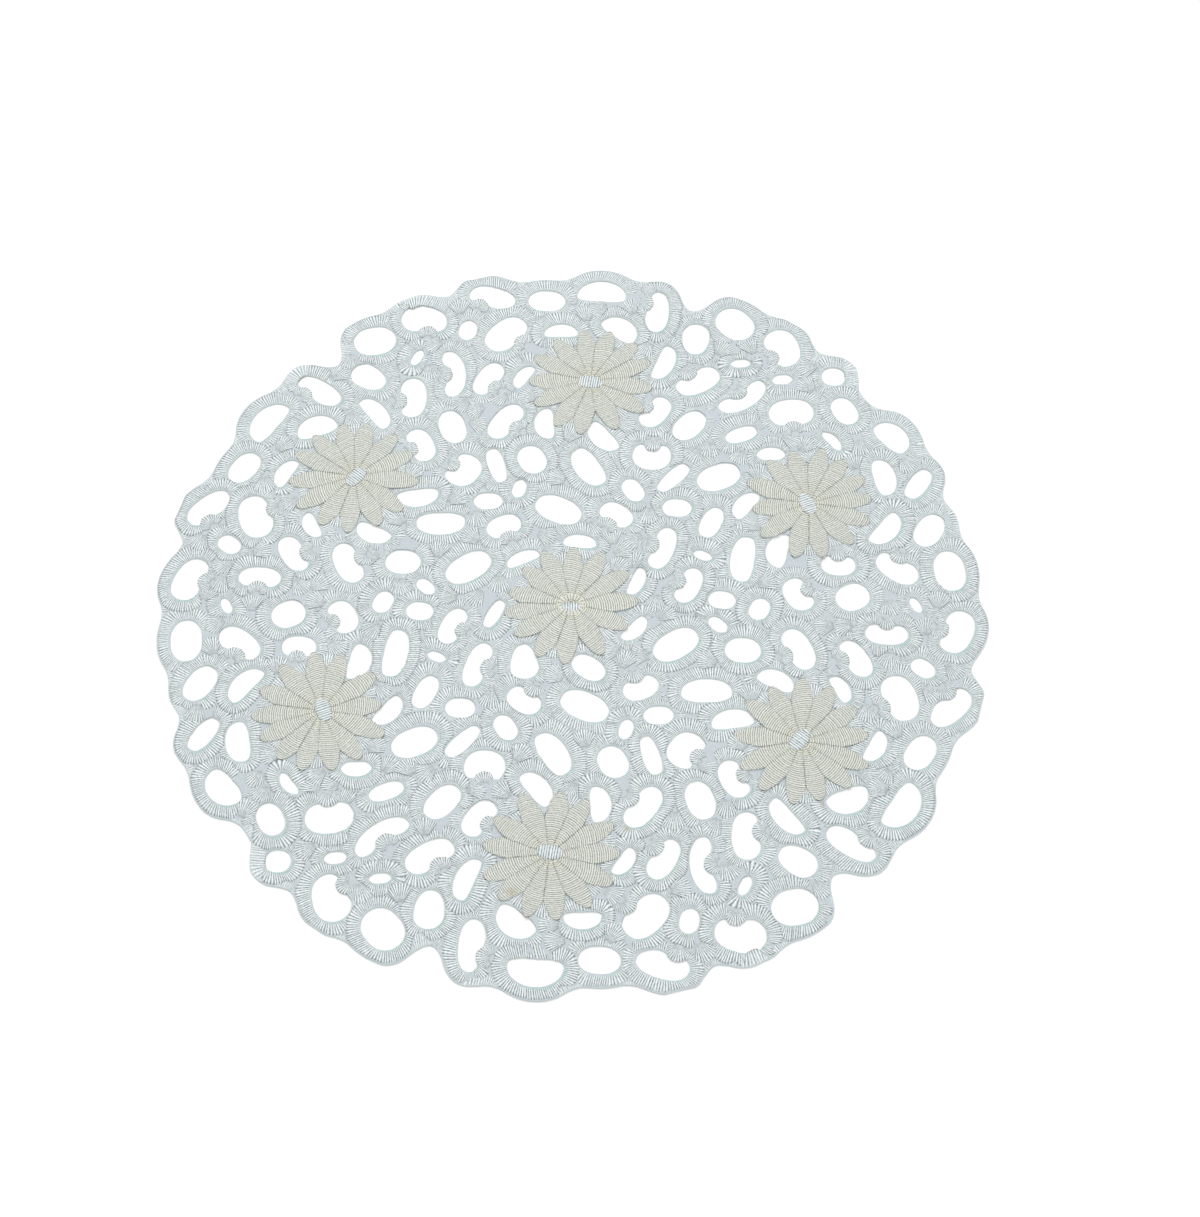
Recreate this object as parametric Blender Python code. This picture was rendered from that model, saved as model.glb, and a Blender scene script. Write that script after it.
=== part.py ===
"""A round cutwork doily: one flat embroidered cloth, scalloped at the rim, pierced all over with
kidney-shaped holes, and carrying seven raised daisies.

The cloth lies on the XY plane with its centre at the origin. Six sectors of 60 degrees run round
it. Two charts, each drawn once by hand, give the holes of a sector, and each chart is repeated by
rotation. All charts are in millimetres; the mesh is made in metres.
"""
import math
from collections import namedtuple

import bmesh
import bpy
import numpy as np
from mathutils import Vector
from mathutils.geometry import delaunay_2d_cdt

MM = 0.001

# Driving sizes, in millimetres
DIAMETER = 406.0
CLOTH_THICKNESS = 1.6
PETAL_RISE = 0.6
RIM_BAND = 6.6            # satin edge outside the outermost holes

# Rim, worked out as radii at even bearings
RIM_BEARINGS = 720
RIM_STEP = 3              # one outline point for every third bearing
NOTCH_RADIUS = 186.0      # no notch of the rim goes deeper
NOTCH_WIDTH = 2           # bearings, half the narrowest notch that stays open
RIM_SMOOTHING = 2         # bearings averaged on each side, to round the notches

# Holes
OUTLINE_SAMPLES = 120
BOXINESS = 0.86           # 1 is an ellipse, less is squarer
DENT_WIDTH = 0.18         # half width of a dent, as a share of the hole's length
BEND_CENTRE = 0.4
PLAIN_POINTS = 10
SMALL_POINTS = 8
BITTEN_POINTS = 14
SMALL_LENGTH = 16.0       # holes shorter than this take the small count

# Daisies
PETAL_REACH = 32.0
PETAL_HALF_WIDTH = 4.6
PETAL_CLEARANCE = 1.8     # cloth left between a petal and a hole
HEART_RADIUS = 8.0
TIP_SPREAD = 6.0          # degrees from a petal's axis to a corner of its tip
NOTCH_SHARE = 0.84        # reach of the groove between two petals, as a share of theirs
CREST_SHARES = (0.52, 0.84)
DAISY_RING = 131.7        # distance of the six outer daisies from the centre

Hole = namedtuple("Hole", "x y long wide turn bite at bend taper", defaults=(0, 0, 0, 0))
Hole.__doc__ = """One hole: x, y its centre (x clockwise along the rim, y outward from the cloth's
centre), long and wide its size, turn the direction of its long axis in degrees from x, bite the
depth of a dent in its left side, at the dent's place along the axis, bend how far the ends lean
to the left, taper how much wider the front end is."""

CHART_A = (
    # the rim, from left to right
    Hole(-55, 181, 25, 14, 172, bite=3.5, at=5, taper=0.15),
    Hole(-26.5, 181, 19.5, 13.5, 0),
    Hole(2, 188, 26, 13.5, 180, bend=3),
    Hole(31.5, 178, 26, 12.5, 90, bite=2.5, at=5),
    Hole(52.5, 162, 19.5, 14, 90, taper=0.12),
    Hole(72.5, 173, 22, 18, -45),
    Hole(97.5, 159.5, 24, 18, 108, bite=4.5, at=-4),
    # between the rim and the daisy
    Hole(-66, 159.5, 13, 9.5, 85),
    Hole(-46, 158.5, 25, 17, 230, bite=1.5, at=-2),
    Hole(-17.5, 162, 18, 8.5, 185, bend=2),
    Hole(13, 165.5, 21, 12.5, 145, bend=2.5),
    Hole(76.5, 148.5, 11, 5.5, 8),
    # beside the daisy
    Hole(-52.5, 130, 22, 12.5, 245, bite=2.5, at=3),
    Hole(-34.5, 132.5, 16, 7.5, 240, bend=1.5),
    Hole(37, 146, 22.5, 9.5, 72, bend=2),
    Hole(55, 136, 24.5, 14.5, 33, bite=3.5, at=-2),
    Hole(78.5, 127.5, 29, 12, 40, bite=4, bend=2),
    # inside the daisy
    Hole(-41.5, 104.5, 24, 13.5, 238, bite=2),
    Hole(-21, 104.5, 19, 10, 278, bend=2),
    Hole(8.5, 98.5, 21, 10.5, 312, bend=2),
    Hole(34, 115.5, 20.5, 13.5, 58, bite=4),
    Hole(52, 108.5, 20.5, 13.5, 52),
    Hole(45.5, 76.5, 22, 8.5, 50, taper=0.1),
    Hole(-26, 82.5, 17.5, 14, -60),
    Hole(2.5, 80, 25, 13, -55, bend=1),
    Hole(34, 89, 19.5, 17.5, 0, bite=5),
    Hole(26, 68, 15, 10, -55),
    Hole(-31, 65, 11.5, 7, 80),
    Hole(-10.5, 54, 24.5, 15, -22),
    Hole(18.5, 53, 18, 13, 148, bite=2),
)

CHART_B = (
    # the rim, from left to right
    Hole(-62, 179.5, 12.5, 11.5, 60),
    Hole(-41, 174.5, 17.5, 12.5, 0),
    Hole(-16.5, 188.5, 21.5, 13.5, 195, bend=2),
    Hole(13.5, 186.5, 20, 10, -60),
    Hole(39.5, 178, 20.5, 13.5, -58),
    Hole(64, 175.5, 23, 15.5, -20),
    Hole(95, 161.5, 24.5, 16, 130, bite=3, at=-2),
    # between the rim and the daisy
    Hole(2.5, 173, 22, 11.5, 165, bend=1.5),
    Hole(-72, 155, 11, 6.5, 70),
    Hole(-52, 149.5, 23, 17, 250, bite=2),
    Hole(-28, 160, 14.5, 5.5, 192, bend=1.5),
    Hole(73.5, 151, 10, 4.8, 0),
    # beside the daisy
    Hole(-51.5, 120.5, 17.5, 9, 85),
    Hole(-34.5, 128.5, 15, 8, 245, bend=1),
    Hole(29.5, 159, 22, 10.5, 115, bend=2.5),
    Hole(51.5, 153, 23.5, 14, 25, bite=3.5, at=-3),
    Hole(81, 130.5, 21, 12.5, 60, bite=3),
    # inside the daisy
    Hole(-34, 98.5, 23, 15, 88),
    Hole(-13.5, 103, 18.5, 9.5, 295, bend=2),
    Hole(17, 105.5, 20, 11, 320, bend=2.5),
    Hole(37, 128, 17, 12.5, 60, bite=3),
    Hole(56, 125.5, 17, 15, 90),
    Hole(42, 81.5, 13, 10, -50),
    Hole(-12, 83, 19, 10.5, -50),
    Hole(13.5, 87.5, 27, 12, -35, bend=1),
    Hole(43, 102.5, 19, 14, 0, bite=4),
    Hole(29.5, 67.5, 14, 10.5, 55),
    Hole(-27, 71.5, 15, 11, 60),
    Hole(3, 70.5, 10, 5.5, 40),
    Hole(-9.5, 54.5, 25, 12, 135, bite=3),
    Hole(15, 56.5, 21, 12, 130, bite=3),
)

# Seven holes round the middle daisy, given on the XY plane
CHART_MIDDLE = (
    Hole(8.5, -34, 18, 12, -37),
    Hole(31, -13, 17, 8, 48, bend=1.5),
    Hole(32, 13.5, 17, 7, 68, bend=1),
    Hole(4, 36, 17, 8, 174, bend=1),
    Hole(-24, 26.5, 18, 7.5, 205, bend=1.5),
    Hole(-37.5, -4.5, 17.5, 7, 243),
    Hole(-22.5, -30.5, 19.5, 13, -85, taper=0.3),
)

# Bearings of the petals' tips, in degrees from a sector's x axis, or from +X in the middle
PETALS_A = (100, 75, 48, 25, -5, -31, -62, -94, -122, -149, -175, -203, -230)
PETALS_B = (92, 69, 43, 15, -13, -43, -78, -112, -139, -168, -193, -220, -243)
PETALS_MIDDLE = (88, 62, 33, 3, -28, -61, -95, -123, -148, -171, -193, -221, -245)

Sector = namedtuple("Sector", "bearing chart petals")
SECTORS = (
    Sector(-34, CHART_A, PETALS_A),
    Sector(-94, CHART_A, PETALS_A),
    Sector(-154, CHART_B, PETALS_B),
    Sector(146, CHART_A, PETALS_A),
    Sector(86, CHART_A, PETALS_A),
    Sector(26, CHART_B, PETALS_B),
)


def direction(degrees):
    """Unit vector at a bearing from +X."""
    angle = math.radians(degrees)
    return np.array((math.cos(angle), math.sin(angle)))


def turned(points, degrees):
    """Points of the plane, rotated about the origin."""
    ahead = direction(degrees)
    left = np.array((-ahead[1], ahead[0]))
    return points[:, :1] * ahead + points[:, 1:] * left


def boxy(wave):
    """A sine or cosine pulled towards the corners of its box."""
    return np.sign(wave) * np.abs(wave) ** BOXINESS


def hole_outline(hole):
    """The hole's closed curve, counter-clockwise from the bottom of its dent, densely sampled."""
    angle = np.linspace(0, 2 * math.pi, OUTLINE_SAMPLES, endpoint=False)
    along = boxy(np.cos(angle))
    across = boxy(np.sin(angle)) * hole.wide / 2 * (1 + hole.taper * along)
    lean = hole.bend * (along ** 2 - BEND_CENTRE)
    distance = (along * hole.long / 2 - hole.at) / (DENT_WIDTH * hole.long)
    dent = np.where(np.sin(angle) > 0, hole.bite * np.exp(-distance ** 2), 0)
    outline = np.column_stack((along * hole.long / 2, across + lean - dent))
    start = np.argmin(np.abs(distance) + (np.sin(angle) <= 0) * OUTLINE_SAMPLES)
    outline = np.roll(outline, -start, axis=0)
    return turned(outline, hole.turn) + (hole.x, hole.y)


def thinned(outline, count):
    """The same closed curve with a few points, evenly spaced along it."""
    closed = np.vstack((outline, outline[:1]))
    run = np.concatenate(((0,), np.cumsum(np.linalg.norm(np.diff(closed, axis=0), axis=1))))
    places = np.linspace(0, run[-1], count, endpoint=False)
    return np.column_stack([np.interp(places, run, closed[:, axis]) for axis in (0, 1)])


def point_count(hole):
    """How many outline points the shape of a hole needs."""
    if hole.long < SMALL_LENGTH and not hole.bite:
        return SMALL_POINTS
    return BITTEN_POINTS if hole.bite else PLAIN_POINTS


def all_holes():
    """Every hole of the cloth as a pair: its dense outline and its point count."""
    found = []
    for sector in SECTORS:
        for hole in sector.chart:
            found.append((turned(hole_outline(hole), sector.bearing - 90), point_count(hole)))
    for hole in CHART_MIDDLE:
        found.append((hole_outline(hole), point_count(hole)))
    return found


def grown(outline, margin):
    """The closed curve moved outward by a margin."""
    ahead = np.roll(outline, -1, axis=0) - np.roll(outline, 1, axis=0)
    normal = np.column_stack((ahead[:, 1], -ahead[:, 0]))
    return outline + margin * normal / np.linalg.norm(normal, axis=1, keepdims=True)


def neighbours(radii, reach):
    """Each radius with the radii up to reach bearings away, one row for each offset."""
    return np.array([np.roll(radii, offset) for offset in range(-reach, reach + 1)])


def rim_outline(outlines):
    """The scalloped rim: a band of even width outside the outermost holes, with rounded notches."""
    radii = np.full(RIM_BEARINGS, NOTCH_RADIUS)
    for outline in outlines:
        edge = thinned(grown(outline, RIM_BAND), RIM_BEARINGS)
        bearing = np.arctan2(edge[:, 1], edge[:, 0]) / (2 * math.pi) * RIM_BEARINGS
        place = np.round(bearing).astype(int) % RIM_BEARINGS
        np.maximum.at(radii, place, np.linalg.norm(edge, axis=1))
    radii = neighbours(radii, NOTCH_WIDTH).max(axis=0)
    radii = neighbours(radii, NOTCH_WIDTH).min(axis=0)
    radii = np.minimum(neighbours(radii, RIM_SMOOTHING).mean(axis=0), DIAMETER / 2)
    places = range(0, RIM_BEARINGS, RIM_STEP)
    return np.array([radii[place] * direction(place * 360 / RIM_BEARINGS) for place in places])


def clear_reach(centre, bearing, half_width, reach, edges):
    """How far a strip may run from a daisy's centre before it comes near a hole."""
    ahead = direction(bearing)
    offsets = edges - centre
    along = offsets @ ahead
    across = np.abs(offsets @ (-ahead[1], ahead[0]))
    in_way = (across < half_width) & (along > HEART_RADIUS)
    return min(reach, along[in_way].min(initial=reach + PETAL_CLEARANCE) - PETAL_CLEARANCE)


def daisy(centre, bearings, edges):
    """A daisy's points (x, y, rise) and the edges along its grooves, heart, rim and crests."""
    reaches = [clear_reach(centre, bearing, PETAL_HALF_WIDTH, PETAL_REACH, edges)
               for bearing in bearings]
    points = []
    links = []
    for petal, bearing in enumerate(bearings):
        reach = reaches[petal]
        before = bearings[petal - 1] if petal else bearings[-1] + 360
        between = (before + bearing) / 2
        groove = NOTCH_SHARE * min(reach, reaches[petal - 1])
        groove = clear_reach(centre, between, PETAL_HALF_WIDTH / 2, groove, edges)
        places = (
            (HEART_RADIUS, between, 0),
            (groove, between, 0),
            (reach, bearing + TIP_SPREAD, 0),
            (reach, bearing - TIP_SPREAD, 0),
            (reach * CREST_SHARES[0], bearing, PETAL_RISE),
            (reach * CREST_SHARES[1], bearing, PETAL_RISE),
        )
        heart, notch, near_tip, far_tip, inner, outer = np.arange(len(places)) + len(points)
        next_heart = (heart + len(places)) % (len(places) * len(bearings))
        links += [(heart, notch), (notch, near_tip), (near_tip, far_tip), (inner, outer)]
        links += [(far_tip, next_heart + 1), (heart, next_heart)]
        for distance, place_bearing, rise in places:
            points.append((*(centre + distance * direction(place_bearing)), rise))
    return points, links


def loop_links(start, count):
    """Edges that close a loop of points."""
    return [(start + step, start + (step + 1) % count) for step in range(count)]


def cloth_faces(points, loops, links):
    """Triangles over the cloth, inside the rim and outside every hole, facing up."""
    faces = [list(range(start, start + count)) for start, count in loops]
    flat = [Vector(point) for point in points]
    _, _, triangles, sources, _, regions = delaunay_2d_cdt(flat, links, faces, 1, 1e-5)
    return [[sources[corner][0] for corner in triangle]
            for triangle, region in zip(triangles, regions) if region == [0]]


def cloth_mesh(name):
    """The whole cloth as one closed body."""
    holes = all_holes()
    outlines = [outline for outline, _ in holes]
    edges = np.vstack(outlines)
    rings = [rim_outline(outlines)] + [thinned(outline, count) for outline, count in holes]
    loops = []
    flat = []
    for ring in rings:
        loops.append((len(flat), len(ring)))
        flat += [tuple(point) for point in ring]
    wall = [link for start, count in loops for link in loop_links(start, count)]

    raised = [(x, y, 0) for x, y in flat]
    grooves = []
    places = [(np.zeros(2), PETALS_MIDDLE)]
    for sector in SECTORS:
        bearings = [sector.bearing - 90 + petal for petal in sector.petals]
        places.append((DAISY_RING * direction(sector.bearing), bearings))
    for centre, bearings in places:
        points, links = daisy(centre, bearings, edges)
        grooves += [(int(first) + len(raised), int(second) + len(raised)) for first, second in links]
        raised += points

    body = bmesh.new()
    bottom = [body.verts.new((x * MM, y * MM, 0)) for x, y in flat]
    top = [body.verts.new((x * MM, y * MM, (CLOTH_THICKNESS + rise) * MM)) for x, y, rise in raised]
    for corners in cloth_faces(flat, loops, wall):
        body.faces.new([bottom[corner] for corner in reversed(corners)])
    for corners in cloth_faces([(x, y) for x, y, _ in raised], loops, wall + grooves):
        face = body.faces.new([top[corner] for corner in corners])
        face.material_index = int(max(corners) >= len(flat))
    for first, second in wall:
        body.faces.new((bottom[first], bottom[second], top[second], top[first]))
    bmesh.ops.recalc_face_normals(body, faces=body.faces)
    mesh = bpy.data.meshes.new(name)
    body.to_mesh(mesh)
    body.free()
    return mesh


def thread(name, colour, roughness):
    """A matt embroidery thread."""
    material = bpy.data.materials.new(name)
    material.use_nodes = True
    shader = material.node_tree.nodes["Principled BSDF"]
    shader.inputs["Base Color"].default_value = (*colour, 1)
    shader.inputs["Roughness"].default_value = roughness
    shader.inputs["Metallic"].default_value = 0
    return material


def main():
    for old in list(bpy.data.objects):
        bpy.data.objects.remove(old, do_unlink=True)
    mesh = cloth_mesh("doily")
    mesh.materials.append(thread("white_thread", (0.66, 0.71, 0.73), 0.8))
    mesh.materials.append(thread("cream_thread", (0.66, 0.64, 0.53), 0.75))
    bpy.context.scene.collection.objects.link(bpy.data.objects.new("doily", mesh))


main()
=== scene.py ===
"""The looks of the round cutwork doily: rings of satin stitches round every hole, fans of stitches in
the dents and the wider gaps, seven daisies of cross-stitched petals with their hearts, and the ground
cloth that shows between them.

The holes, the rim and the petals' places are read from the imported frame. Places and heights are in
millimetres here, and meshes are made in metres.
"""
import math
from collections import defaultdict

import bmesh
import bpy
import numpy as np
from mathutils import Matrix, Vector, kdtree
from mathutils.geometry import delaunay_2d_cdt


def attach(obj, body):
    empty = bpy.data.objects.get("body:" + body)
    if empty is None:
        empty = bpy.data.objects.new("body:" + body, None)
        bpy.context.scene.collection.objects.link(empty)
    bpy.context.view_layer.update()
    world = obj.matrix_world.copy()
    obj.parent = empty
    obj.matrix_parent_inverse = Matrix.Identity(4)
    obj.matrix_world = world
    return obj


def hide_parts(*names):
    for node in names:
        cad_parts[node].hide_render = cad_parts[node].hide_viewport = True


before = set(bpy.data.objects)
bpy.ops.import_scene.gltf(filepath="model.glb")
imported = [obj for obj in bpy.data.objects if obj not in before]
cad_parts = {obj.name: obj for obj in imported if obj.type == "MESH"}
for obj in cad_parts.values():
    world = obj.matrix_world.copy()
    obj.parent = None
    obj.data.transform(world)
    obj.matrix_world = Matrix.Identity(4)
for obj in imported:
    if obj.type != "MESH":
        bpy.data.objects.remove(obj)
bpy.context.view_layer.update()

MM = 0.001
RANDOM = np.random.default_rng(11)

# Camera: the photograph's viewing angle, fitted to the mat's rim and daisies
CAMERA_AIM = (0.01405, -0.00144, 0.0)
CAMERA_DISTANCE = 1.155
CAMERA_ELEVATION = 61.11
CAMERA_LENS = 70.14
SENSOR = 36.0
CAMERA_NEAREST = 0.01

# Frame
NODE = "doily"
WELD = 0.001  # corners nearer than this are one
UNDERSIDE_Z = 0.1  # CAD corners below this are on the underside
CREST_Z = 2.0  # CAD corners above this are on the petals' crests
DAISY_RING = 131.7  # distance of the outer daisies from the middle one
DAISY_BEARINGS = (-34, -94, -154, 146, 86, 26)

# Curves
CURVE_STEPS = 12  # points on a curve for each corner of the CAD outline
FEWEST_POINTS = 12  # on any closed curve
SPIKE_REACH = 2  # peaks narrower than this on each side are cut off

# Satin stitches
THREAD_PITCH = 1.22
PITCH_SHARE = 0.76  # where in a ring's width the stitches are evenly spaced
STATIONS = ((0.0, 0.0), (0.5, 1.0))  # place in a thread's pitch, lift
# Rows of corners: place from a stitch's start to its end, share of the full height
TOP_ROWS = ((0.0, 0.15), (0.05, 0.72), (0.2, 0.95), (0.5, 1.0), (0.8, 0.95), (0.95, 0.72), (1.0, 0.15))
BOTTOM_ROWS = ((0.95, 0.75), (0.5, 1.0), (0.05, 0.75))
LEAST_ROW = 7  # fewest stitches in a band that has two ends
LEAST_RING = 8  # fewest stitches in a closed band
EDGE_Z = 0.92
CROWN_Z = (1.34, 1.54)  # crowns of the lowest and the highest ranked stitches
VALLEY = 0.32  # depth between two threads
VALLEY_RISE = 2  # how soon it is reached from the stitches' ends
UNDER_VALLEY = 0.15  # the same on the underside
UNEVEN = 0.10  # how much the crowns differ
STRAY_PLACE = 0.22  # how far stitches stray from even spacing, as a share of the pitch
RAGGED = 0.22  # how much the stitches' ends stray
RAGGED_FROM = 0.4  # as a share of FULL_CROWN: narrower bands have even ends
FULL_CROWN = 2.6  # narrower bands stay lower
END_SHADE = (0.01, 0.85, 0.42)  # length of a stitch's end that gets painted shade, by how many of its ends get it
THINNEST = 0.7  # narrowest band
TUCK = 0.5  # how far a lower band runs under a higher one

# Rings round the holes and along the rim
RING_PIECES = 6  # the rings are joined into this many pieces, by their bearing
RING_WIDTHS = (5.8, 7.2)
EDGE_STEP = 1.0  # spacing of the points that stand for an edge
STATION_STEP = 0.25  # spacing of the points between which stitches are placed
PITCH_CHANGE = (0.5, 3.6)  # least and most spreading of the stitches at a bend
PITCH_SMOOTHING = 8
WIDTH_SMOOTHING = 3
RING_OFFSET = 0.30  # from the cut edge to the stitches, on average
RING_SHIFTS = (0.15, 0.75)  # how far a ring sits off its hole's centre
RING_INSET = 0.15  # how far its stitches may reach over the cut edge
SPAN_HOLE = 8.3  # webs narrower than this are spanned from hole to hole
SPAN_RIM = 9.8  # and these from a hole to the rim
EDGE_GAP = 0.45  # cloth left between a stitch's end and the next opening
OWN_SHARE, OWN_SLACK = 0.9, 0.25  # a stitch stops where another part of its own edge is nearer
SLANT = 9.0  # degrees that stitches lean from square to the edge
SLANT_SIDE = 0.7  # share of the rings that lean to the left
SLANT_SWAY = 0.9  # how much of that comes and goes round a ring
SWAYS = (2, 6)  # how often, from the first to below the second
SWAY_START = 9  # radians for each millimetre of the ring's shift
RIM_WIDTH = 7.0
RIM_OFFSET = 0.15
RIM_RANK = -0.2  # below every ring
RIM_STRETCH = 40  # points of the rim that are marked on the plan at a time
RIM_OVERLAP = 2

# Fans
SHELL_RADII = (4.2, 5.3)  # of a shell's round front
SHELL_LENGTH = 8.6  # from a shell's apex to the middle of its front, where there is room
SHELL_LEAST = 5.0
SHELL_LOOK = 2  # how far room is looked for, in shells' lengths
SHELL_FRONT = 0.75  # largest radius of its front, as a share of its length
SHELL_PROTRUDES = 1.3  # how far it stands into the hole
SHELL_SPREAD = 72  # degrees on each side of its middle
SHELL_RANK = 1.3
DENT_TURN = 18  # degrees an edge must turn back to count as a dent
DENT_STEP = 0.5
DENT_SMOOTHING = 6
FILL_LENGTHS = (12.0, 9.6, 7.6)
FILL_FRONTS = (4.6, 5.6)  # half widths of the fans' fronts
FILL_STEP = 1.5  # grid on which bare places are looked for
FILL_DEPTH = 3.6  # least distance of a fan's middle from any hole
FILL_SPACING = 8.0
FILL_FACINGS = 14  # directions tried for each fan
FILL_TURN = 30  # degrees within which the first of them is drawn
FILL_FRONT = 0.75  # where in its length a fan is as wide as its front
FILL_SINE = 0.93  # sine of a fan's widest spread
FILL_RANKS = (1.02, 1.2)
FILL_AREA = 30.0  # least bare area that a fan is made for
FILL_LOOK = 6.0  # how far round a place bare cloth is looked for
FILL_SHARE = 0.55  # shortest mean stitch of a fan, as a share of its length
FILL_LIMIT = 190  # farthest from the mat's centre
FAN_CORE = 2.1  # from a fan's apex to its stitches
FAN_DENSITY = 0.84  # where in a fan's length its stitches are evenly spaced
FAN_FLAT = 0.04  # least square under the root that gives a fan's front
FAN_SMOOTHING = 2
FAN_TOP_RANK = 1.2  # higher ranks raise a fan no further

# Grid for what lies where
CELL = 0.25
HALF = 209.0  # half the grid's width
MARCH = 0.15  # step along a stitch that looks for its end
CLOTH = -1  # what the grid holds on cloth, and outside the rim; holes have numbers
OUTSIDE = 0
OWN_FREE = 1.2  # how far a ring's stitches may start inside their own hole

# Petals and hearts
PETAL_PITCHES = (1.0, 1.14)
PETAL_ROOT = 1.2  # where petals start, from the daisy's centre
PETAL_WIDEST = 5.8  # half width
PETAL_START, PETAL_SWELL = 0.22, 1.5  # half width at the root and its growth, as shares of that
PETAL_TIP = 3.3  # the higher, the blunter
PETAL_REACHES = (31.2, 33.4)
PETAL_LEAST = 24.0
PETAL_STEP = 0.4  # by which a petal is shortened until it fits
PETAL_BITE = 0.8  # how far a petal may stand over a hole
PETAL_PROBES = 30  # places along a petal where that is looked at
PETAL_THINNEST = 0.2  # shortest cross stitch
HEART_TAKEN = 2  # how far round the roots the cloth counts as stitched
PETAL_TURNS = (0, 1.5, -1.5, 3, -3)  # changes of bearing tried to gain reach
PETAL_BASE = 1.68
PETAL_Z = 1.89
PETAL_LIFT = 0.1  # how much higher some petals lie
PETAL_LOOSE = (1.0, 1.07)  # how far low and high petals spread, as shares of the room
PETAL_SEAM_SHADES = ((0, 0.3, 0.55, 0.75), (0.4, 0.7, 0.7, 0.08))  # how dark the painted shade on its edges is, from its root to its tip
PETAL_TILT = 0.26  # slope of the cross stitches
PETAL_BOW = 0.7  # how far they bend towards the tip
TOP_PETALS = (1, 4, 6, 9, 11)  # these lie over their neighbours
WARM_REACH = 11.0  # petals are warmer up to here
BAR_LENGTH, BAR_WIDTH = 12.4, 7.6
BAR_NARROWS, BAR_BLUNT = 0.92, 2.6  # how much a bar narrows to its ends, and how late
BAR_BASE, BAR_Z = 1.8, 2.27
BAR_TURN, BAR_INWARD = -5, 1.0
MIDDLE_RING, MIDDLE_FLATTEN, MIDDLE_BAND = 7.2, 0.86, 4.2
MIDDLE_CORNERS = 45
MIDDLE_LOWER = 0.15  # how much lower than the bars the ring is
MIDDLE_WARMTH = 0.5
MIDDLE_BAR = (8.6, 5.4)
MIDDLE_BAR_Y = -1.6

# Colours: painted shade between the threads, plain backs, backs under a painted highlight, warm places;
# then how much wider the painted shade between the threads grows at their ends, and how much of
# their own colour is left there
THREAD_COLOURS = {
    "white_thread": ((0.12, 0.155, 0.165), (0.55, 0.60, 0.61), (0.95, 0.99, 1.0), (0.70, 0.70, 0.62),
                     0.5, 0.75),
    "cream_thread": ((0.15, 0.165, 0.135), (0.55, 0.575, 0.52), (0.82, 0.835, 0.785), (0.66, 0.62, 0.48),
                     0.75, 0.75),
}
THREAD_SHADER = {"Roughness": 0.5, "Sheen Weight": 0.2, "Sheen Roughness": 0.4,
                 "Specular IOR Level": 0.45}
DARK_SHARES = (0.1, 0.82)  # lift below which a thread gets painted shade, where least and where most
CREST_LIFTS = (0.4, 0.9)  # lifts at which a thread's painted highlight starts and is strongest
TONE_SHARES = (0.5, 1)  # how strong the painted highlight is on the dullest and the brightest thread
GLINT_SHARES = (0.45, 1)  # and at the dullest and the brightest place of one, where it glints
NOISE_RANGE = (0.35, 0.65)  # most noise values lie in this range
DARK_NOISE = 1150  # noise scales
GLINT_NOISE = 900
WARM_NOISE = 300
FILAMENT_NOISE = 2600
FILAMENT_DEPTH = 0.0001
FILAMENT_STRENGTH = 0.35
STAINS = (  # small tan stains: x, y, radius
    (-25.7, -149.9, 3.0),
    (117.9, -106.0, 2.0),
    (26.6, -118.6, 2.6),
)
STAIN_Z = 1.6
STAIN_COLOUR = (0.36, 0.30, 0.16)
STAIN_STRENGTH = 0.8
STAIN_NOISE = 700
STAIN_SHARES = (0.5, 1)  # how strong it is where the noise is low and high

# Faint green lips along the holes' near right edges
LIP_FACING = np.array((0.64, -0.77))
LIP_SHARE = 0.3  # how far they reach, as a share of the stitches' length
LIP_RANGE = (-0.9, -0.2)  # warmth at which a lip is greenest and ends
LIP_STRENGTH = 0.8
LIP_COLOUR = (0.32, 0.54, 0.48)

# Ground cloth
GROUND_STEP = 1.6  # spacing of the points on its edges
GROUND_INSET = 0.03
GROUND_Z = (0.2, 1.0)
SAME_POINT = 1e-5  # points nearer than this are one to the triangulation
GROUND_SHADER = {"Roughness": 0.85}
GROUND_WEAVE = ((0.50, 0.555, 0.58), (0.66, 0.715, 0.745))  # between the threads, on them
GROUND_CLOUDS = ((0.56, 0.62, 0.64), 120, (0.3, 0.7), 0.35)  # colour, noise scale, range, strength
GROUND_MOTTLES = ((0.44, 0.50, 0.53), 1100, (0.4, 0.6), 0.6)
WEAVE_SCALE, WEAVE_WANDER, WEAVE_DETAIL = 700, 1.2, 60
WEAVE_STRENGTH, WEAVE_DEPTH = 0.5, 0.0001
CUT_SHADER = {"Roughness": 0.7}
CUT_COLOURS = ((0.46, 0.57, 0.55), (0.64, 0.71, 0.70))
CUT_NOISE = 90

# Stage
FLOOR_SIZE = 8
FLOOR_SHADER = {"Roughness": 0.9, "Base Color": (0.93, 0.93, 0.93, 1)}
WORLD_COLOUR = (1, 1, 1, 1)
WORLD_STRENGTH = 0.80
LIGHTS = (  # name, place, size, power
    ("key", (-0.2, 0.8, 1.6), 0.9, 12),
    ("fill", (0.9, -0.6, 1.5), 1.6, 5),
)


def direction(degrees):
    angle = np.radians(degrees)
    return np.stack((np.cos(angle), np.sin(angle)), axis=-1)


def left_of(vectors):
    return np.stack((-vectors[..., 1], vectors[..., 0]), axis=-1)


# --- what the frame says ---

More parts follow.
